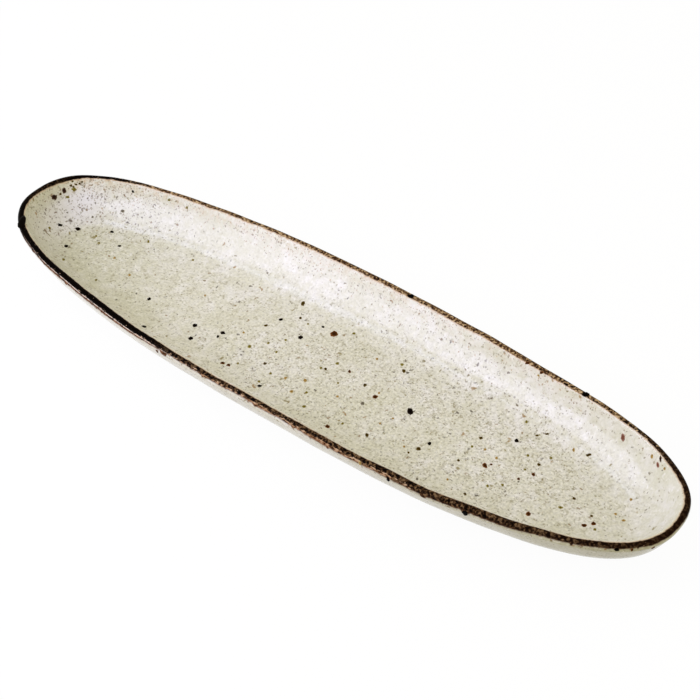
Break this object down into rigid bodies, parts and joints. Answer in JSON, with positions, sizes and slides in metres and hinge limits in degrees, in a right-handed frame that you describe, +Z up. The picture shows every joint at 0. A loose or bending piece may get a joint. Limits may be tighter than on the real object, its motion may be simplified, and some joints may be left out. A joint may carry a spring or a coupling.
{
  "type": "asparagus plate",
  "caption": "Long shallow oval serving plate in speckled cream glazed stoneware, with coved walls, a rounded iron-brown rim and a low bare foot ring.",
  "frame": {"origin": "middle of the plate, on the ground face of the foot ring", "axes": "+X along the plate's length, +Z up from the table"},
  "size_m": [0.38, 0.106, 0.027],
  "materials": {
    "bare_stoneware": "bare fired clay, matt",
    "speckled_glaze": "gloss glaze with fine iron specks",
    "iron_band": "brushed iron oxide, satin",
    "iron_grain": "melted iron grains, gloss"
  },
  "bodies": {
    "root": {"clay_body": "bare_stoneware", "foot_ring": "bare_stoneware", "inner_glaze": "speckled_glaze", "outer_glaze": "speckled_glaze", "underside_glaze": "speckled_glaze", "iron_rim": "iron_band", "iron_spots": "iron_grain"}
  },
  "joints": []
}
